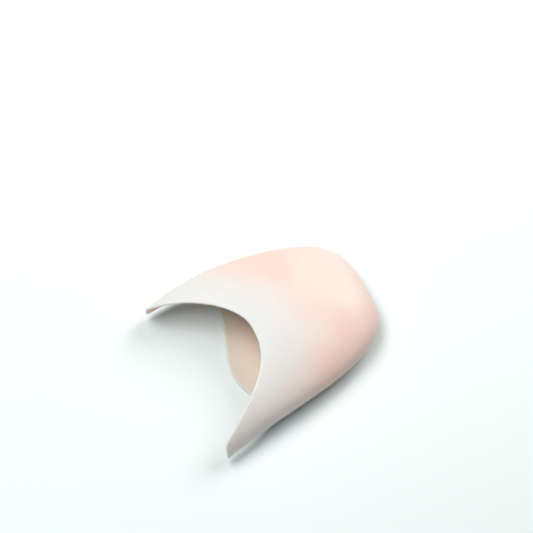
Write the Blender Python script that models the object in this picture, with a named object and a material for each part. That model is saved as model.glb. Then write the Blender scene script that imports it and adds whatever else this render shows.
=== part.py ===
"""Gel toe cap: a soft moulded pocket for the front of the foot.

One hollow shell of silicone gel. Its toe end points along +X and is closed.
The rear is open: the top is cut back in a U, the sole ends in a tongue.
Two side wings fold over and run back to blunt tips, the left one further.
Metres, +Z up, origin on the floor at the middle of the bounding box.
"""

import math

import bpy
import numpy as np


# Overall size
LENGTH = 0.108              # rear line of the plan to the toe end
HALF_WIDTH = 0.0443         # midline to the side fold, at the rear
MOUTH_HEIGHT = 0.0275       # top of the arch above the floor, at the mouth
TOE_DROP = 0.0064           # how much lower the top is at the toe end

# Side fold, the widest line of the cap, as heights above the floor
FOLD_HEIGHT = 0.0128
TIP_HEIGHT = 0.0050
TOE_FOLD_HEIGHT = 0.0111
WING_REACH = 0.045          # length over which the fold drops to the tip

# Roundness of the outline and of the sections
OUTLINE_ALONG = 2.3         # superellipse power along X
OUTLINE_ACROSS = 3.49       # superellipse power along Y
ARCH_POWER = 2.11           # superellipse power of the upper half section
NOSE_LENGTH = 0.020         # rounding of the toe end, seen from the side
NOSE_POWER = 2.4            # how late that rounding starts
SOLE_EDGE_RADIUS = 0.014    # rounding between the sole and the side fold
SOLE_EDGE_SHARE = 0.70      # largest share of a narrow section it takes

# Bend of the midline, seen from above: the rear swings toward the big toe's side
SWING = 0.0060              # how far it has swung at the rear line
SWING_REACH = 0.060         # length over which it swings

# Rear edge, as distances forward of the rear line
MOUTH_DEPTH = 0.0445        # deepest point of the U in the top
MOUTH_POWER_LEFT = 1.75     # 2 is a plain parabola, more is squarer
MOUTH_POWER_RIGHT = 2.75
NOTCH_DEPTH = 0.0402        # notches of the sole edge beside the tongue
NOTCH_POWER = 16.0          # how sharply the sole edge turns to the tips
TONGUE_END = 0.0289         # rear end of the tongue
TONGUE_HALF = 0.0230        # half width of the tongue
TONGUE_SIDE = -0.0084       # the tongue's middle, toward the big toe's side
BLUNT_TIP_LEFT = 0.0050     # how far short of the rear line the wings end
BLUNT_TIP_RIGHT = 0.0070
TIP_BLEND = 0.0060          # rounding between a blunt tip and the edges beside it

# Wall
WALL = 0.0023
TOE_WALL = 0.0032
RIM_WALL = 0.0012
RIM_TAPER = 0.16            # share of the shell's length that thins to the rim
LIP_BULGE = 0.45            # how far the rounded lip stands out, in rim walls

# Mesh
AROUND_TOP = 44             # faces over the arch, fold to fold
AROUND_EDGE = 12            # faces round each edge of the sole
AROUND_SOLE = 16            # faces across the flat of the sole
ALONG = 27                  # faces from the toe end to the rim
ROW_SPREAD = 1.25           # 1 crowds the rows at the toe end less
SHARP_ANGLE = 60.0          # degrees past which an edge is shaded sharp

GEL_COLOUR = (0.870, 0.720, 0.640, 1.0)
GEL_ROUGHNESS = 0.42


def clear_scene():
    """Remove every object of the open scene."""
    for old in list(bpy.data.objects):
        bpy.data.objects.remove(old, do_unlink=True)


def half_width(x):
    """Half width of the cap at distance x forward of the rear line."""
    share = np.clip(x / LENGTH, 0.0, 1.0)
    return HALF_WIDTH * (1.0 - share ** OUTLINE_ALONG) ** (1.0 / OUTLINE_ACROSS)


def midline(x):
    """How far to the left the midline lies at x."""
    return -SWING * np.clip(1.0 - x / SWING_REACH, 0.0, 1.0) ** 2


def fold_height(x):
    """Height of the side fold above the floor."""
    share = np.clip(x / LENGTH, 0.0, 1.0)
    near_tip = np.clip(1.0 - x / WING_REACH, 0.0, 1.0) ** 2
    return (FOLD_HEIGHT
            + (TIP_HEIGHT - FOLD_HEIGHT) * near_tip
            + (TOE_FOLD_HEIGHT - FOLD_HEIGHT) * share ** 4)


def nose(x):
    """Rounding factor of the toe end: 1 behind the nose, 0 at its tip."""
    into = np.clip((x - LENGTH + NOSE_LENGTH) / NOSE_LENGTH, 0.0, 1.0)
    return np.sqrt(1.0 - into ** NOSE_POWER)


def arch_rise(x):
    """Rise of the arch above the side fold."""
    share = np.clip(x / LENGTH, 0.0, 1.0)
    top = MOUTH_HEIGHT - TOE_DROP * share ** 3
    return (top - fold_height(x)) * nose(x)


def sole_drop(x):
    """Drop from the side fold to the sole."""
    return fold_height(x) * nose(x)


def sole_edge_share(x):
    """Share of the half width that the rounded edge of the sole takes."""
    limit = SOLE_EDGE_RADIUS / SOLE_EDGE_SHARE
    return SOLE_EDGE_RADIUS / np.hypot(half_width(x), limit)


def around_angles():
    """Positions round a section, each as (zone, value), from the left fold.

    Zone top runs over the arch to the right fold with an angle.
    Zone edge and zone flat then come back along the sole.
    """
    stops = []
    for i in range(AROUND_TOP):
        stops.append(("top", math.pi * i / AROUND_TOP))
    for i in range(AROUND_EDGE):
        stops.append(("right", 0.5 * math.pi * i / AROUND_EDGE))
    for i in range(AROUND_SOLE):
        stops.append(("flat", 1.0 - 2.0 * i / AROUND_SOLE))
    for i in range(AROUND_EDGE):
        stops.append(("left", 0.5 * math.pi * (1.0 - i / AROUND_EDGE)))
    return stops


def section_point(zone, value, x):
    """Share of the half width and height of one stop of the section at x."""
    if zone == "top":
        power = 2.0 / ARCH_POWER
        side = math.copysign(abs(math.cos(value)) ** power, math.cos(value))
        return side, fold_height(x) + arch_rise(x) * abs(math.sin(value)) ** power
    edge = sole_edge_share(x)
    if zone == "flat":
        return -value * (1.0 - edge), fold_height(x) - sole_drop(x)
    side = 1.0 - edge * (1.0 - math.cos(value))
    height = fold_height(x) - sole_drop(x) * math.sin(value)
    return (-side if zone == "right" else side), height


def rounded_max(a, b, blend):
    """The larger of two lengths, with the corner between them rounded."""
    overlap = max(blend - abs(a - b), 0.0) / blend
    return max(a, b) + blend * overlap ** 3 / 6.0


def rim_start(zone, value):
    """Distance forward of the rear line at which one stop meets the rim."""
    side = section_point(zone, value, MOUTH_DEPTH)[0]
    if zone == "top":
        power = MOUTH_POWER_LEFT if side > 0.0 else MOUTH_POWER_RIGHT
        forward = MOUTH_DEPTH * (1.0 - abs(side) ** power)
    else:
        from_tongue = (side * HALF_WIDTH - TONGUE_SIDE) / TONGUE_HALF
        tongue = math.exp(-from_tongue ** 2)
        edge = NOTCH_DEPTH - (NOTCH_DEPTH - TONGUE_END) * tongue
        forward = edge * (1.0 - abs(side) ** NOTCH_POWER)
    blunt = BLUNT_TIP_LEFT if side > 0.0 else BLUNT_TIP_RIGHT
    return rounded_max(forward, blunt, TIP_BLEND) + LIP_BULGE * RIM_WALL


def outer_grid():
    """Outer surface: rows from the toe end to the rim, stops round a section."""
    stops = around_angles()
    grid = np.zeros((ALONG + 1, len(stops), 3))
    for j, (zone, value) in enumerate(stops):
        start = rim_start(zone, value)
        for i in range(ALONG + 1):
            run = 1.0 - math.cos(0.5 * math.pi * (i / ALONG) ** ROW_SPREAD)
            x = LENGTH - (LENGTH - start) * run
            side, z = section_point(zone, value, x)
            grid[i, j] = (x, side * half_width(x) + midline(x), z)
    return grid


def outward_normals(grid):
    """Unit normals of the grid, pointing out of the cap."""
    along = np.gradient(grid, axis=0)
    across = np.roll(grid, -1, axis=1) - np.roll(grid, 1, axis=1)
    normals = np.cross(along, across)
    length = np.linalg.norm(normals, axis=2, keepdims=True)
    normals /= np.maximum(length, 1e-12)
    normals[0] = (1.0, 0.0, 0.0)
    return normals


def wall_at(i):
    """Wall thickness at row i, thick at the toe and thin at the rim."""
    share = i / ALONG
    into_rim = np.clip((1.0 - share) / RIM_TAPER, 0.0, 1.0)
    ease = into_rim * into_rim * (3.0 - 2.0 * into_rim)
    body = RIM_WALL + (WALL - RIM_WALL) * ease
    return body + (TOE_WALL - WALL) * (1.0 - share) ** 3


def build_shell():
    """Vertices and faces of the closed shell."""
    outer = outer_grid()
    normals = outward_normals(outer)
    walls = np.array([wall_at(i) for i in range(ALONG + 1)])
    inner = outer - normals * walls[:, None, None]
    backward = outer[-1] - outer[-2]
    backward /= np.linalg.norm(backward, axis=1, keepdims=True)
    lip = 0.5 * (outer[-1] + inner[-1]) + backward * LIP_BULGE * RIM_WALL

    count = outer.shape[1]
    verts = [outer[0, 0]]
    verts += [p for row in outer[1:] for p in row]
    lip_first = len(verts)
    verts += list(lip)
    inner_first = len(verts)
    verts += [p for row in inner[:0:-1] for p in row]
    verts.append(inner[0, 0])
    corners = np.array(verts)
    middle = 0.5 * (corners.min(axis=0) + corners.max(axis=0))
    middle[2] = 0.0
    verts = [tuple(p - middle) for p in verts]

    faces = []
    rings = [1 + i * count for i in range(ALONG)] + [lip_first]
    rings += [inner_first + i * count for i in range(ALONG)]
    last = len(verts) - 1
    for j in range(count):
        k = (j + 1) % count
        faces.append((0, rings[0] + j, rings[0] + k))
        for near, far in zip(rings[:-1], rings[1:]):
            faces.append((near + j, far + j, far + k, near + k))
        faces.append((rings[-1] + j, last, rings[-1] + k))
    return verts, faces


def make_material(name, colour, roughness):
    """Plain Principled material of the gel."""
    material = bpy.data.materials.new(name)
    material.use_nodes = True
    shader = material.node_tree.nodes["Principled BSDF"]
    shader.inputs["Base Color"].default_value = colour
    shader.inputs["Roughness"].default_value = roughness
    shader.inputs["Metallic"].default_value = 0.0
    return material


def add_toe_cap():
    """The moulded cap as one object."""
    verts, faces = build_shell()
    mesh = bpy.data.meshes.new("toe_cap")
    mesh.from_pydata(verts, [], faces)
    mesh.validate()
    mesh.update()
    mesh.shade_smooth()
    mesh.set_sharp_from_angle(angle=math.radians(SHARP_ANGLE))
    mesh.materials.append(make_material("gel", GEL_COLOUR, GEL_ROUGHNESS))
    toe_cap = bpy.data.objects.new("toe_cap", mesh)
    bpy.context.scene.collection.objects.link(toe_cap)
    return toe_cap


clear_scene()
add_toe_cap()
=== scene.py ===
import math

import bpy
import numpy as np
from mathutils import Matrix, Vector


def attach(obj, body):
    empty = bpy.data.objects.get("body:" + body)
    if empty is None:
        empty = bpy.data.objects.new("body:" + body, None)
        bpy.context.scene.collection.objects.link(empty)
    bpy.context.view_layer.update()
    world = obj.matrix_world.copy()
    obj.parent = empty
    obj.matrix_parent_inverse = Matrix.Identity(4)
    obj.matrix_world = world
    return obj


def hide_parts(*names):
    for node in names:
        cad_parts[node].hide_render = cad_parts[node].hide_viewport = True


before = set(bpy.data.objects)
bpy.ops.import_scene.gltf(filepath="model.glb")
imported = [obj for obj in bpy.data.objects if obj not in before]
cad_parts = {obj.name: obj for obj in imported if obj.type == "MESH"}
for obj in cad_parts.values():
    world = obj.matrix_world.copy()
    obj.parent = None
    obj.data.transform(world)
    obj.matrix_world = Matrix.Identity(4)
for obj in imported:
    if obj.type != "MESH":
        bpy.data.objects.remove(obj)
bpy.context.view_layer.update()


# The studio table.
# A seamless sheet of matt white paper under faint, slightly cool room light.
# It blows out to white where the light is full and goes grey-green in the shadows.

def linear_colour(hex_code):
    """An sRGB hex colour as a linear RGBA tuple."""
    channels = [int(hex_code[i:i + 2], 16) / 255.0 for i in (1, 3, 5)]
    linear = [c / 12.92 if c <= 0.04045 else ((c + 0.055) / 1.055) ** 2.4 for c in channels]
    return (*linear, 1.0)


def add_node(tree, kind, settings, links):
    """Adds a node. Each link's source is a node, a socket, a list of them, or a plain value."""
    node = tree.nodes.new(kind)
    for name, value in settings.items():
        setattr(node, name, value)
    for socket, source in links.items():
        sources = source if isinstance(source, list) else [source]
        for item in sources:
            if isinstance(item, bpy.types.Node):
                item = item.outputs[0]
            if isinstance(item, bpy.types.NodeSocket):
                tree.links.new(item, node.inputs[socket])
            else:
                node.inputs[socket].default_value = item
    return node


PAPER_WIDTH = 3.0
PAPER_GAP = 0.0001
PAPER_GRAIN = 0.0012
PAPER_LOW = "#EAF1F1"
PAPER_HIGH = "#EEF4F4"

# Matt paper: rough, no gloss, so it shows the shadows and no reflection.
# Its fibre is finer than this grain on the real sheet, too fine to see from here.
paper = bpy.data.materials.new("matt_white_paper")
paper.use_nodes = True
paper.node_tree.nodes.clear()
paper_place = add_node(paper.node_tree, "ShaderNodeTexCoord", {}, {}).outputs["Object"]
paper_noise = add_node(paper.node_tree, "ShaderNodeTexNoise", {}, {
    "Vector": paper_place, "Scale": 1.0 / PAPER_GRAIN, "Detail": 3.0})
paper_tone = add_node(paper.node_tree, "ShaderNodeMix", {"data_type": "RGBA"}, {
    0: paper_noise, 6: linear_colour(PAPER_LOW), 7: linear_colour(PAPER_HIGH)})
paper_shader = add_node(paper.node_tree, "ShaderNodeBsdfPrincipled", {}, {
    "Base Color": paper_tone.outputs[2], "Roughness": 0.9, "Specular IOR Level": 0.2})
add_node(paper.node_tree, "ShaderNodeOutputMaterial", {}, {"Surface": paper_shader})

sheet = bpy.data.meshes.new("paper_sheet")
half_sheet = 0.5 * PAPER_WIDTH
sheet.from_pydata(
    [(-half_sheet, -half_sheet, -PAPER_GAP), (half_sheet, -half_sheet, -PAPER_GAP),
     (half_sheet, half_sheet, -PAPER_GAP), (-half_sheet, half_sheet, -PAPER_GAP)],
    [], [(0, 1, 2, 3)])
sheet.materials.append(paper)
paper_sheet = bpy.data.objects.new("paper_sheet", sheet)
bpy.context.scene.collection.objects.link(paper_sheet)

ROOM_LIGHT = 0.01
ROOM_TINT = "#F1FAFC"
world = bpy.data.worlds.new("studio_room")
bpy.context.scene.world = world
world.use_nodes = True
world.node_tree.nodes.clear()
room = add_node(world.node_tree, "ShaderNodeBackground", {}, {
    "Color": linear_colour(ROOM_TINT), "Strength": ROOM_LIGHT})
add_node(world.node_tree, "ShaderNodeOutputWorld", {}, {"Surface": room})
bpy.context.scene.view_settings.view_transform = "Standard"


# The camera.
# It looks steeply down on the cap from its right side and a little to the rear.
# The frame is square, and the cap lies below its middle, as in the photograph.

FRAME_PX = 533
SENSOR_MM = 36.0
PX_PER_M = 2000.0
CAP_MIDDLE_PX = (275.6, 342.2)
VIEW_AZIMUTH = math.radians(-27.5)
VIEW_ELEVATION = math.radians(63.2)
VIEW_DISTANCE = 0.80

toward_camera = Vector((
    math.sin(VIEW_AZIMUTH) * math.cos(VIEW_ELEVATION),
    -math.cos(VIEW_AZIMUTH) * math.cos(VIEW_ELEVATION),
    math.sin(VIEW_ELEVATION)))
view_right = Vector((math.cos(VIEW_AZIMUTH), math.sin(VIEW_AZIMUTH), 0.0))
view_up = toward_camera.cross(view_right)
aim = (view_right * (0.5 * FRAME_PX - CAP_MIDDLE_PX[0]) / PX_PER_M
       + view_up * (CAP_MIDDLE_PX[1] - 0.5 * FRAME_PX) / PX_PER_M)

camera_data = bpy.data.cameras.new("photo_camera")
camera_data.sensor_width = SENSOR_MM
camera_data.lens = SENSOR_MM * PX_PER_M * VIEW_DISTANCE / FRAME_PX
camera = bpy.data.objects.new("photo_camera", camera_data)
camera.location = aim + toward_camera * VIEW_DISTANCE
camera.rotation_euler = toward_camera.to_track_quat("Z", "Y").to_euler()
bpy.context.scene.collection.objects.link(camera)
bpy.context.scene.camera = camera


# The studio lights.
# Fabric softboxes stand round the table, each a square of even light.
# Three high on the left wrap the arch and reach into the mouth, a lower one lifts the far right.

SOFTBOX_DISTANCE = 0.90
SOFTBOXES = (
    ("softbox_far_left", 197.0, 66.0, 0.50, 3.05, "#FFFEFC"),
    ("softbox_left", 242.0, 66.0, 0.50, 3.10, "#FFFEFC"),
    ("softbox_near_left", 287.0, 66.0, 0.50, 1.60, "#E4F6F8"),
    ("softbox_far_right", 107.0, 42.0, 0.50, 5.00, "#FFFEFC"),
)
for name, azimuth, elevation, width, watts, tint in SOFTBOXES:
    box_data = bpy.data.lights.new(name, "AREA")
    box_data.shape = "SQUARE"
    box_data.size = width
    box_data.energy = watts
    box_data.color = linear_colour(tint)[:3]
    toward_box = Vector((
        math.sin(math.radians(azimuth)) * math.cos(math.radians(elevation)),
        -math.cos(math.radians(azimuth)) * math.cos(math.radians(elevation)),
        math.sin(math.radians(elevation))))
    softbox = bpy.data.objects.new(name, box_data)
    softbox.location = toward_box * SOFTBOX_DISTANCE
    softbox.rotation_euler = toward_box.to_track_quat("Z", "Y").to_euler()
    bpy.context.scene.collection.objects.link(softbox)


# The gel cap.
# One moulding of soft silicone gel, cast in a two-part mould and pulled off its core.
# Its wall is thick at the toe end and feathers out to a thin rounded rim at the mouth.

# Sizes of the mould in metres. Rims, tips and tongue are counted forward from its rear line.
CAP_SIZES = {
    "Length": 0.1080,
    "Half Width": 0.0443,
    "Mouth Height": 0.0275,
    "Toe Drop": 0.0064,
    "Fold Height": 0.0128,
    "Tip Height": 0.0050,
    "Toe Fold Height": 0.0111,
    "Wing Reach": 0.0450,
    "Nose Length": 0.0200,
    "Mouth Depth": 0.0445,
    "Notch Depth": 0.0402,
    "Tongue End": 0.0289,
    "Tongue Half": 0.0230,
    "Tongue Side": -0.0084,
    "Left Blunt Tip": 0.0050,
    "Right Blunt Tip": 0.0070,
    "Tip Blend": 0.0060,
    "Swing": 0.0060,
    "Swing Reach": 0.0600,
    "Wall": 0.0023,
    "Toe Wall": 0.0032,
    "Rim Wall": 0.0012,
    "Sole Rest": 0.0005,
    "Softness": 0.0006,
}
# Roundness of its curves: 2 is a plain ellipse or parabola, more is squarer.
CAP_POWERS = {
    "Outline Along": 2.3,
    "Outline Across": 3.49,
    "Arch Power": 2.11,
    "Sole Power": 3.6,
    "Nose Power": 2.4,
    "Left Mouth Power": 1.75,
    "Right Mouth Power": 2.75,
    "Notch Power": 16.0,
}
FACES_AROUND = 200
FACES_ALONG = 110
RIM_TAPER = 0.16
LIP_STEPS = 4
SEAM_MERGE = 1e-6
GEL_SEED = 7.0
SWELL_WIDTH = 0.030
SWELL_FROM_HEIGHT = 0.004
SWELL_FULL_HEIGHT = 0.016
TOE_FOLD_LATENESS = 4.0
TOE_DROP_LATENESS = 3.0
TOE_WALL_LATENESS = 3.0

shell = bpy.data.node_groups.new("moulded_gel_shell", "GeometryNodeTree")
for name in [*CAP_SIZES, *CAP_POWERS]:
    shell.interface.new_socket(name, in_out="INPUT", socket_type="NodeSocketFloat")
shell.interface.new_socket("Gel", in_out="INPUT", socket_type="NodeSocketMaterial")
shell.interface.new_socket("Geometry", in_out="OUTPUT", socket_type="NodeSocketGeometry")
sizes = add_node(shell, "NodeGroupInput", {}, {}).outputs

# Unrolled sheet: across it runs round the cap, up it runs from the toe end to the rim.
sheet_grid = add_node(shell, "GeometryNodeMeshGrid", {}, {
    "Size X": 1.0, "Size Y": 1.0, "Vertices X": FACES_AROUND + 1, "Vertices Y": FACES_ALONG + 1})
sheet_place = add_node(shell, "ShaderNodeSeparateXYZ", {}, {
    0: add_node(shell, "GeometryNodeInputPosition", {}, {})})
around = add_node(shell, "ShaderNodeMath", {"operation": "ADD"}, {0: sheet_place.outputs[0], 1: 0.5})
along = add_node(shell, "ShaderNodeMath", {"operation": "ADD"}, {0: sheet_place.outputs[1], 1: 0.5})
kept_along = add_node(shell, "GeometryNodeStoreNamedAttribute", {"data_type": "FLOAT"}, {
    "Geometry": sheet_grid, "Name": "along", "Value": along})

# Section: a superellipse above the side fold and a flatter one below it.
angle = add_node(shell, "ShaderNodeMath", {"operation": "MULTIPLY"}, {0: around, 1: 2.0 * math.pi})
cosine = add_node(shell, "ShaderNodeMath", {"operation": "COSINE"}, {0: angle})
sine = add_node(shell, "ShaderNodeMath", {"operation": "SINE"}, {0: angle})
on_arch = add_node(shell, "ShaderNodeMath", {"operation": "GREATER_THAN"}, {0: sine, 1: 0.0})
power = add_node(shell, "ShaderNodeMix", {}, {
    0: on_arch, 2: sizes["Sole Power"], 3: sizes["Arch Power"]})
exponent = add_node(shell, "ShaderNodeMath", {"operation": "DIVIDE"}, {0: 2.0, 1: power})
bare_cosine = add_node(shell, "ShaderNodeMath", {"operation": "ABSOLUTE"}, {0: cosine})
bare_sine = add_node(shell, "ShaderNodeMath", {"operation": "ABSOLUTE"}, {0: sine})
bare_side = add_node(shell, "ShaderNodeMath", {"operation": "POWER"}, {0: bare_cosine, 1: exponent})
rise = add_node(shell, "ShaderNodeMath", {"operation": "POWER"}, {0: bare_sine, 1: exponent})
left_right = add_node(shell, "ShaderNodeMath", {"operation": "SIGN"}, {0: cosine})
side = add_node(shell, "ShaderNodeMath", {"operation": "MULTIPLY"}, {0: bare_side, 1: left_right})

# Rim over the arch: the U of the mouth, a little squarer on the right.
on_left = add_node(shell, "ShaderNodeMath", {"operation": "GREATER_THAN"}, {0: cosine, 1: 0.0})
mouth_power = add_node(shell, "ShaderNodeMix", {}, {
    0: on_left, 2: sizes["Right Mouth Power"], 3: sizes["Left Mouth Power"]})
mouth_rise = add_node(shell, "ShaderNodeMath", {"operation": "POWER"}, {0: bare_side, 1: mouth_power})
mouth_share = add_node(shell, "ShaderNodeMath", {"operation": "SUBTRACT"}, {0: 1.0, 1: mouth_rise})
mouth_edge = add_node(shell, "ShaderNodeMath", {"operation": "MULTIPLY"}, {
    0: sizes["Mouth Depth"], 1: mouth_share})

# Rim of the sole: a round tongue between two notches.
side_place = add_node(shell, "ShaderNodeMath", {"operation": "MULTIPLY"}, {
    0: side, 1: sizes["Half Width"]})
from_tongue = add_node(shell, "ShaderNodeMath", {"operation": "SUBTRACT"}, {
    0: side_place, 1: sizes["Tongue Side"]})
tongue_share = add_node(shell, "ShaderNodeMath", {"operation": "DIVIDE"}, {
    0: from_tongue, 1: sizes["Tongue Half"]})
tongue_square = add_node(shell, "ShaderNodeMath", {"operation": "MULTIPLY"}, {
    0: tongue_share, 1: tongue_share})
tongue_minus = add_node(shell, "ShaderNodeMath", {"operation": "MULTIPLY"}, {0: tongue_square, 1: -1.0})
tongue_bell = add_node(shell, "ShaderNodeMath", {"operation": "EXPONENT"}, {0: tongue_minus})
sole_edge = add_node(shell, "ShaderNodeMix", {}, {
    0: tongue_bell, 2: sizes["Notch Depth"], 3: sizes["Tongue End"]})
near_fold = add_node(shell, "ShaderNodeMath", {"operation": "POWER"}, {
    0: bare_side, 1: sizes["Notch Power"]})
off_fold = add_node(shell, "ShaderNodeMath", {"operation": "SUBTRACT"}, {0: 1.0, 1: near_fold})
sole_rim = add_node(shell, "ShaderNodeMath", {"operation": "MULTIPLY"}, {0: sole_edge, 1: off_fold})
rim = add_node(shell, "ShaderNodeMix", {}, {0: on_arch, 2: sole_rim, 3: mouth_edge})
lip_reach = add_node(shell, "ShaderNodeMath", {"operation": "MULTIPLY"}, {
    0: sizes["Rim Wall"], 1: 0.5})
blunt_tip = add_node(shell, "ShaderNodeMix", {}, {
    0: on_left, 2: sizes["Right Blunt Tip"], 3: sizes["Left Blunt Tip"]})
blunt_rim = add_node(shell, "ShaderNodeMath", {"operation": "SMOOTH_MAX"}, {
    0: rim, 1: blunt_tip, 2: sizes["Tip Blend"]})
rim_start = add_node(shell, "ShaderNodeMath", {"operation": "ADD"}, {0: blunt_rim, 1: lip_reach})

# Distance forward of the rear line, with rows close together at the round toe end.
quarter_turn = add_node(shell, "ShaderNodeMath", {"operation": "MULTIPLY"}, {0: along, 1: 0.5 * math.pi})
turned = add_node(shell, "ShaderNodeMath", {"operation": "COSINE"}, {0: quarter_turn})
forward = add_node(shell, "ShaderNodeMix", {}, {0: turned, 2: rim_start, 3: sizes["Length"]})
length_share = add_node(shell, "ShaderNodeMath", {"operation": "DIVIDE", "use_clamp": True}, {
    0: forward, 1: sizes["Length"]})

# Half width: the outline seen from above.
outline_power = add_node(shell, "ShaderNodeMath", {"operation": "POWER"}, {
    0: length_share, 1: sizes["Outline Along"]})
outline_left = add_node(shell, "ShaderNodeMath", {"operation": "SUBTRACT", "use_clamp": True}, {
    0: 1.0, 1: outline_power})
outline_root = add_node(shell, "ShaderNodeMath", {"operation": "DIVIDE"}, {
    0: 1.0, 1: sizes["Outline Across"]})
outline_share = add_node(shell, "ShaderNodeMath", {"operation": "POWER"}, {
    0: outline_left, 1: outline_root})
half_width = add_node(shell, "ShaderNodeMath", {"operation": "MULTIPLY"}, {
    0: sizes["Half Width"], 1: outline_share})

# Height of the side fold, which drops to the wing tips and to the toe end.
wing_share = add_node(shell, "ShaderNodeMath", {"operation": "DIVIDE"}, {
    0: forward, 1: sizes["Wing Reach"]})
wing_left = add_node(shell, "ShaderNodeMath", {"operation": "SUBTRACT", "use_clamp": True}, {
    0: 1.0, 1: wing_share})
wing_ease = add_node(shell, "ShaderNodeMath", {"operation": "MULTIPLY"}, {0: wing_left, 1: wing_left})
rear_fold = add_node(shell, "ShaderNodeMix", {}, {
    0: wing_ease, 2: sizes["Fold Height"], 3: sizes["Tip Height"]})
toe_ease = add_node(shell, "ShaderNodeMath", {"operation": "POWER"}, {
    0: length_share, 1: TOE_FOLD_LATENESS})
fold = add_node(shell, "ShaderNodeMix", {}, {0: toe_ease, 2: rear_fold, 3: sizes["Toe Fold Height"]})

# Rounding of the toe end seen from the side, then the arch and the sole.
nose_start = add_node(shell, "ShaderNodeMath", {"operation": "SUBTRACT"}, {
    0: sizes["Length"], 1: sizes["Nose Length"]})
into_nose = add_node(shell, "ShaderNodeMath", {"operation": "SUBTRACT"}, {0: forward, 1: nose_start})
nose_share = add_node(shell, "ShaderNodeMath", {"operation": "DIVIDE", "use_clamp": True}, {
    0: into_nose, 1: sizes["Nose Length"]})
nose_power = add_node(shell, "ShaderNodeMath", {"operation": "POWER"}, {
    0: nose_share, 1: sizes["Nose Power"]})
nose_left = add_node(shell, "ShaderNodeMath", {"operation": "SUBTRACT", "use_clamp": True}, {
    0: 1.0, 1: nose_power})
nose = add_node(shell, "ShaderNodeMath", {"operation": "SQRT"}, {0: nose_left})
drop_ease = add_node(shell, "ShaderNodeMath", {"operation": "POWER"}, {
    0: length_share, 1: TOE_DROP_LATENESS})
arch_drop = add_node(shell, "ShaderNodeMath", {"operation": "MULTIPLY"}, {
    0: sizes["Toe Drop"], 1: drop_ease})
arch_top = add_node(shell, "ShaderNodeMath", {"operation": "SUBTRACT"}, {
    0: sizes["Mouth Height"], 1: arch_drop})
arch_rise = add_node(shell, "ShaderNodeMath", {"operation": "SUBTRACT"}, {0: arch_top, 1: fold})
sole_fall = add_node(shell, "ShaderNodeMath", {"operation": "MULTIPLY"}, {0: fold, 1: -1.0})
reach = add_node(shell, "ShaderNodeMix", {}, {0: on_arch, 2: sole_fall, 3: arch_rise})
reach_nose = add_node(shell, "ShaderNodeMath", {"operation": "MULTIPLY"}, {0: reach, 1: nose})
from_fold = add_node(shell, "ShaderNodeMath", {"operation": "MULTIPLY"}, {0: reach_nose, 1: rise})
free_height = add_node(shell, "ShaderNodeMath", {"operation": "ADD"}, {0: fold, 1: from_fold})
pressed = add_node(shell, "ShaderNodeMath", {"operation": "SUBTRACT"}, {
    0: free_height, 1: sizes["Sole Rest"]})
resting = add_node(shell, "ShaderNodeMath", {"operation": "MAXIMUM"}, {0: pressed, 1: 0.0})
height = add_node(shell, "ShaderNodeMix", {}, {0: on_arch, 2: resting, 3: pressed})

# The sole is pressed flat by the table, and the rear swings toward the big toe's side.
half_length = add_node(shell, "ShaderNodeMath", {"operation": "MULTIPLY"}, {
    0: sizes["Length"], 1: 0.5})
place_x = add_node(shell, "ShaderNodeMath", {"operation": "SUBTRACT"}, {0: forward, 1: half_length})
straight_y = add_node(shell, "ShaderNodeMath", {"operation": "MULTIPLY"}, {0: side, 1: half_width})
swing_share = add_node(shell, "ShaderNodeMath", {"operation": "DIVIDE"}, {
    0: forward, 1: sizes["Swing Reach"]})
swing_left = add_node(shell, "ShaderNodeMath", {"operation": "SUBTRACT", "use_clamp": True}, {
    0: 1.0, 1: swing_share})
swing_ease = add_node(shell, "ShaderNodeMath", {"operation": "MULTIPLY"}, {0: swing_left, 1: swing_left})
swung = add_node(shell, "ShaderNodeMath", {"operation": "MULTIPLY"}, {0: sizes["Swing"], 1: swing_ease})
place_y = add_node(shell, "ShaderNodeMath", {"operation": "SUBTRACT"}, {0: straight_y, 1: swung})
place = add_node(shell, "ShaderNodeCombineXYZ", {}, {0: place_x, 1: place_y, 2: height})
rolled = add_node(shell, "GeometryNodeSetPosition", {}, {"Geometry": kept_along, "Position": place})
turned_out = add_node(shell, "GeometryNodeFlipFaces", {}, {"Mesh": rolled})
skin = add_node(shell, "GeometryNodeMergeByDistance", {}, {
    "Geometry": turned_out, "Distance": SEAM_MERGE})

# Soft gel never sets quite true: slow shallow swells over the arch, none on the sole.
skin_place = add_node(shell, "GeometryNodeInputPosition", {}, {})
skin_height = add_node(shell, "ShaderNodeSeparateXYZ", {}, {0: skin_place})
swell_noise = add_node(shell, "ShaderNodeTexNoise", {"noise_dimensions": "4D"}, {
    "Vector": skin_place, "W": GEL_SEED, "Scale": 1.0 / SWELL_WIDTH, "Detail": 1.0})
swell_centred = add_node(shell, "ShaderNodeMath", {"operation": "SUBTRACT"}, {0: swell_noise, 1: 0.5})
swell_mask = add_node(shell, "ShaderNodeMapRange", {"interpolation_type": "SMOOTHSTEP"}, {
    "Value": skin_height.outputs[2], "From Min": SWELL_FROM_HEIGHT, "From Max": SWELL_FULL_HEIGHT})
swell_masked = add_node(shell, "ShaderNodeMath", {"operation": "MULTIPLY"}, {
    0: swell_centred, 1: swell_mask})
swell = add_node(shell, "ShaderNodeMath", {"operation": "MULTIPLY"}, {
    0: swell_masked, 1: sizes["Softness"]})
swell_push = add_node(shell, "ShaderNodeVectorMath", {"operation": "SCALE"}, {
    0: add_node(shell, "GeometryNodeInputNormal", {}, {}), "Scale": swell})
swollen = add_node(shell, "GeometryNodeSetPosition", {}, {"Geometry": skin, "Offset": swell_push})

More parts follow.
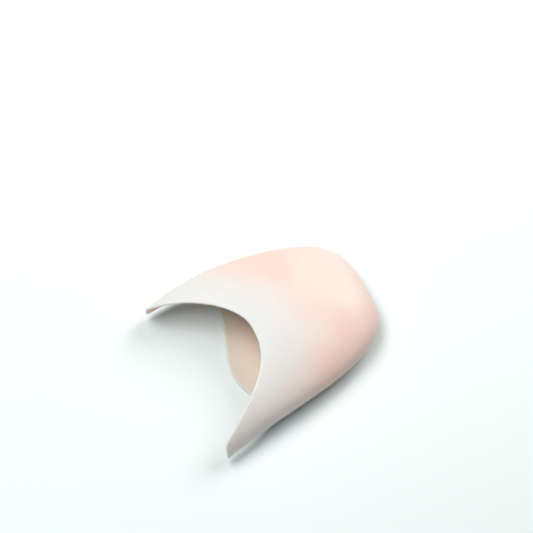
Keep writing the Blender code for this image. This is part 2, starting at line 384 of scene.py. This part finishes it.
# Wall thickness: thick at the toe end, even over the body, thin at the rim.
row = add_node(shell, "GeometryNodeInputNamedAttribute", {"data_type": "FLOAT"}, {"Name": "along"})
body_wall = add_node(shell, "ShaderNodeMapRange", {"interpolation_type": "SMOOTHSTEP"}, {
    "Value": row, "From Min": 1.0 - RIM_TAPER, "From Max": 1.0,
    "To Min": sizes["Wall"], "To Max": sizes["Rim Wall"]})
extra_wall = add_node(shell, "ShaderNodeMath", {"operation": "SUBTRACT"}, {
    0: sizes["Toe Wall"], 1: sizes["Wall"]})
toward_toe = add_node(shell, "ShaderNodeMath", {"operation": "SUBTRACT"}, {0: 1.0, 1: row})
toe_share = add_node(shell, "ShaderNodeMath", {"operation": "POWER"}, {
    0: toward_toe, 1: TOE_WALL_LATENESS})
wall = add_node(shell, "ShaderNodeMath", {"operation": "MULTIPLY_ADD"}, {
    0: extra_wall, 1: toe_share, 2: body_wall})
kept_wall = add_node(shell, "GeometryNodeStoreNamedAttribute", {"data_type": "FLOAT"}, {
    "Geometry": swollen, "Name": "wall", "Value": wall})
kept_out = add_node(shell, "GeometryNodeStoreNamedAttribute", {"data_type": "FLOAT_VECTOR"}, {
    "Geometry": kept_wall, "Name": "outward",
    "Value": add_node(shell, "GeometryNodeInputNormal", {}, {})})
kept_skin = add_node(shell, "GeometryNodeStoreNamedAttribute", {"data_type": "FLOAT_VECTOR"}, {
    "Geometry": kept_out, "Name": "skin",
    "Value": add_node(shell, "GeometryNodeInputPosition", {}, {})})

skin_wall = add_node(shell, "GeometryNodeInputNamedAttribute", {"data_type": "FLOAT"}, {"Name": "wall"})
outward = add_node(shell, "GeometryNodeInputNamedAttribute", {"data_type": "FLOAT_VECTOR"}, {
    "Name": "outward"})
skin_at = add_node(shell, "GeometryNodeInputNamedAttribute", {"data_type": "FLOAT_VECTOR"}, {
    "Name": "skin"})

# Lining: the same skin moved inwards by the wall.
inward = add_node(shell, "ShaderNodeMath", {"operation": "MULTIPLY"}, {0: skin_wall, 1: -1.0})
wall_step = add_node(shell, "ShaderNodeVectorMath", {"operation": "SCALE"}, {0: outward, "Scale": inward})
lining_at = add_node(shell, "ShaderNodeVectorMath", {"operation": "ADD"}, {0: skin_at, 1: wall_step})
lining_moved = add_node(shell, "GeometryNodeSetPosition", {}, {
    "Geometry": kept_skin, "Position": lining_at})
lining_turned = add_node(shell, "GeometryNodeFlipFaces", {}, {"Mesh": lining_moved})
lining = add_node(shell, "GeometryNodeStoreNamedAttribute", {"data_type": "FLOAT"}, {
    "Geometry": lining_turned, "Name": "lining", "Value": 1.0})

# Lip: the rim's open edge is drawn out in steps round half a circle to meet the lining.
half_wall = add_node(shell, "ShaderNodeMath", {"operation": "MULTIPLY"}, {0: skin_wall, 1: 0.5})
half_step = add_node(shell, "ShaderNodeVectorMath", {"operation": "SCALE"}, {
    0: outward, "Scale": half_wall})
lip_middle = add_node(shell, "ShaderNodeVectorMath", {"operation": "SUBTRACT"}, {0: skin_at, 1: half_step})
facing_rear = add_node(shell, "ShaderNodeVectorMath", {"operation": "DOT_PRODUCT"}, {
    0: (-1.0, 0.0, 0.0), 1: outward})
rear_part = add_node(shell, "ShaderNodeVectorMath", {"operation": "SCALE"}, {
    0: outward, "Scale": facing_rear.outputs["Value"]})
rear_along = add_node(shell, "ShaderNodeVectorMath", {"operation": "SUBTRACT"}, {
    0: (-1.0, 0.0, 0.0), 1: rear_part})
rear_unit = add_node(shell, "ShaderNodeVectorMath", {"operation": "NORMALIZE"}, {0: rear_along})
rear_step = add_node(shell, "ShaderNodeVectorMath", {"operation": "SCALE"}, {
    0: rear_unit, "Scale": half_wall})
face_count = add_node(shell, "GeometryNodeInputMeshEdgeNeighbors", {}, {})
open_edge = add_node(shell, "FunctionNodeCompare", {"data_type": "INT", "operation": "EQUAL"}, {
    2: face_count, 3: 1})
grown, edge = kept_skin, open_edge
for step in range(1, LIP_STEPS + 1):
    turn = math.pi * step / LIP_STEPS
    drawn = add_node(shell, "GeometryNodeExtrudeMesh", {"mode": "EDGES"}, {
        "Mesh": grown, "Selection": edge, "Offset": (0.0, 0.0, 0.0), "Offset Scale": 0.0})
    outer_part = add_node(shell, "ShaderNodeVectorMath", {"operation": "SCALE"}, {
        0: half_step, "Scale": math.cos(turn)})
    rear_share = add_node(shell, "ShaderNodeVectorMath", {"operation": "SCALE"}, {
        0: rear_step, "Scale": math.sin(turn)})
    lip_offset = add_node(shell, "ShaderNodeVectorMath", {"operation": "ADD"}, {
        0: outer_part, 1: rear_share})
    lip_at = add_node(shell, "ShaderNodeVectorMath", {"operation": "ADD"}, {0: lip_middle, 1: lip_offset})
    grown = add_node(shell, "GeometryNodeSetPosition", {}, {
        "Geometry": drawn.outputs["Mesh"], "Selection": drawn.outputs["Top"], "Position": lip_at})
    edge = drawn.outputs["Top"]

both = add_node(shell, "GeometryNodeJoinGeometry", {}, {"Geometry": [grown, lining]})
closed = add_node(shell, "GeometryNodeMergeByDistance", {}, {"Geometry": both, "Distance": SEAM_MERGE})
smooth = add_node(shell, "GeometryNodeSetShadeSmooth", {}, {"Geometry": closed, "Shade Smooth": True})
realized = add_node(shell, "GeometryNodeRealizeInstances", {}, {"Geometry": smooth})
coated = add_node(shell, "GeometryNodeSetMaterial", {}, {"Geometry": realized, "Material": sizes["Gel"]})
add_node(shell, "NodeGroupOutput", {}, {"Geometry": coated})

# Silicone gel, cast with a little skin-tone pigment: light goes in, scatters and comes out softer.
# The wings and the band along the rim are painted greyer: painted shade, standing in for the shaded table
# seen through the thin gel; the thick toe keeps the warmer, pinker body tone.
# The lining is painted its own warmer peach tone: painted light, standing in for light that comes through
# the wall and turns peach inside.
GEL_BODY = "#EBDAD2"
GEL_WING_PAINTED_SHADE = "#DFDEDD"
GEL_BLUSH = "#EECFC6"
GEL_LINING_PAINTED_LIGHT = "#EBD6C8"
SCATTER_MM = 3.0
SCATTER_COLOURS = (1.0, 0.65, 0.5)
BLUSH_WIDTH = 0.035
WING_SHADE_FROM = 0.60
WING_SHADE_FULL = 0.95
HAZE_GRAIN = 0.0008
HAZE_DEPTH = 0.0001
SILICONE_IOR = 1.41

gel = bpy.data.materials.new("cast_silicone_gel")
gel.use_nodes = True
gel_tree = gel.node_tree
gel_tree.nodes.clear()
gel_place = add_node(gel_tree, "ShaderNodeTexCoord", {}, {}).outputs["Object"]
gel_row = add_node(gel_tree, "ShaderNodeAttribute", {"attribute_name": "along"}, {})
blush_noise = add_node(gel_tree, "ShaderNodeTexNoise", {}, {
    "Vector": gel_place, "Scale": 1.0 / BLUSH_WIDTH, "Detail": 1.5, "Roughness": 0.4})
blush_share = add_node(gel_tree, "ShaderNodeMapRange", {"interpolation_type": "SMOOTHSTEP"}, {
    "Value": blush_noise, "From Min": 0.45, "From Max": 0.70})
blushed = add_node(gel_tree, "ShaderNodeMix", {"data_type": "RGBA"}, {
    0: blush_share, 6: linear_colour(GEL_BODY), 7: linear_colour(GEL_BLUSH)})
# Painted shade: toward the rim and over the wings the colour turns grey, for the shaded table seen through
# the thin gel.
wing_shade_share = add_node(gel_tree, "ShaderNodeMapRange", {"interpolation_type": "SMOOTHSTEP"}, {
    "Value": gel_row.outputs["Fac"], "From Min": WING_SHADE_FROM, "From Max": WING_SHADE_FULL})
outer_tone_and_shade = add_node(gel_tree, "ShaderNodeMix", {"data_type": "RGBA"}, {
    0: wing_shade_share, 6: blushed.outputs[2], 7: linear_colour(GEL_WING_PAINTED_SHADE)})
# Painted light: the lining faces take a warmer peach tone for light that comes through the wall.
gel_side = add_node(gel_tree, "ShaderNodeAttribute", {"attribute_name": "lining"}, {})
tone_with_painted_light_and_shade = add_node(gel_tree, "ShaderNodeMix", {"data_type": "RGBA"}, {
    0: gel_side.outputs["Fac"], 6: outer_tone_and_shade.outputs[2], 7: linear_colour(GEL_LINING_PAINTED_LIGHT)})
skin_grain = add_node(gel_tree, "ShaderNodeTexNoise", {}, {
    "Vector": gel_place, "Scale": 1.0 / HAZE_GRAIN, "Detail": 2.0})
skin_bump = add_node(gel_tree, "ShaderNodeBump", {}, {
    "Strength": 0.08, "Distance": HAZE_DEPTH, "Height": skin_grain})
haze = add_node(gel_tree, "ShaderNodeMapRange", {}, {
    "Value": skin_grain, "To Min": 0.40, "To Max": 0.50})
gel_shader = add_node(gel_tree, "ShaderNodeBsdfPrincipled", {}, {
    "Base Color": tone_with_painted_light_and_shade.outputs[2], "Roughness": haze, "IOR": SILICONE_IOR,
    "Subsurface Weight": 1.0, "Subsurface Radius": SCATTER_COLOURS,
    "Subsurface Scale": SCATTER_MM / 1000.0, "Normal": skin_bump})
add_node(gel_tree, "ShaderNodeOutputMaterial", {}, {"Surface": gel_shader})

# The tree runs once with the sizes set, and its result is kept as a plain mesh.
blank = bpy.data.meshes.new("gel_blank")
form = bpy.data.objects.new("gel_form", blank)
bpy.context.scene.collection.objects.link(form)
moulding = form.modifiers.new("moulding", "NODES")
moulding.node_group = shell
socket_ids = {item.name: item.identifier for item in shell.interface.items_tree if item.in_out == "INPUT"}
for name, value in [*CAP_SIZES.items(), *CAP_POWERS.items()]:
    moulding[socket_ids[name]] = value
moulding[socket_ids["Gel"]] = gel
moulded = form.evaluated_get(bpy.context.evaluated_depsgraph_get())
cap_mesh = bpy.data.meshes.new_from_object(moulded)
form.modifiers.remove(moulding)
bpy.data.objects.remove(form)
corners = np.array([vertex.co for vertex in cap_mesh.vertices])
middle = 0.5 * (corners.min(axis=0) + corners.max(axis=0))
cap_mesh.transform(Matrix.Translation((-middle[0], -middle[1], 0.0)))
gel_cap = bpy.data.objects.new("gel_cap", cap_mesh)
bpy.context.scene.collection.objects.link(gel_cap)
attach(gel_cap, "root")
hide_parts("toe_cap")
